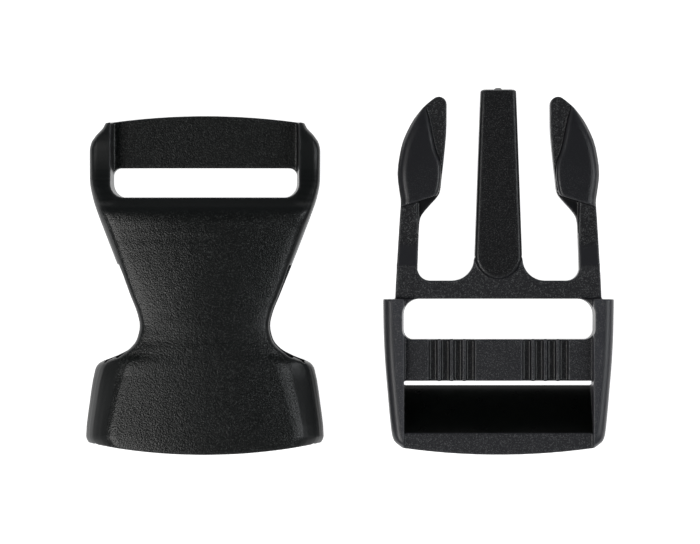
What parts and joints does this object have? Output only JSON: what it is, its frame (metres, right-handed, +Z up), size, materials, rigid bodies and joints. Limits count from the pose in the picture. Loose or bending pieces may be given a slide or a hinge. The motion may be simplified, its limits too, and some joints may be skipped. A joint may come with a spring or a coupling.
{
  "type": "side release buckle",
  "caption": "Two-part side release buckle for flat webbing: an hourglass socket and a plug with a centre guide and two sprung side arms, lying apart.",
  "frame": {"origin": "centre of the footprint of both halves, on the surface they lie on", "axes": "+X from the socket to the plug, +Y from the mouth and the end bar towards the webbing bar and the arm tips, +Z up from the surface, out of the fronts"},
  "size_m": [0.0738, 0.0512, 0.0094],
  "materials": {
    "plastic": "satin black moulding with finely grained fronts"
  },
  "bodies": {
    "halves": {"socket": "plastic", "plug": "plastic"},
    "left_release": {"left_arm": "plastic"},
    "right_release": {"right_arm": "plastic"}
  },
  "joints": [
    {"name": "left_arm_bend", "type": "hinge", "parent": "halves", "child": "left_release", "pos_m": [0.00805, 0.00038, 0.0047], "axis": [0, 0, -1], "range_deg": [0, 9], "stiffness_Nm_per_rad": 2.1},
    {"name": "right_arm_bend", "type": "hinge", "parent": "halves", "child": "right_release", "pos_m": [0.03355, 0.00038, 0.0047], "axis": [0, 0, 1], "range_deg": [0, 9], "stiffness_Nm_per_rad": 2.1}
  ]
}
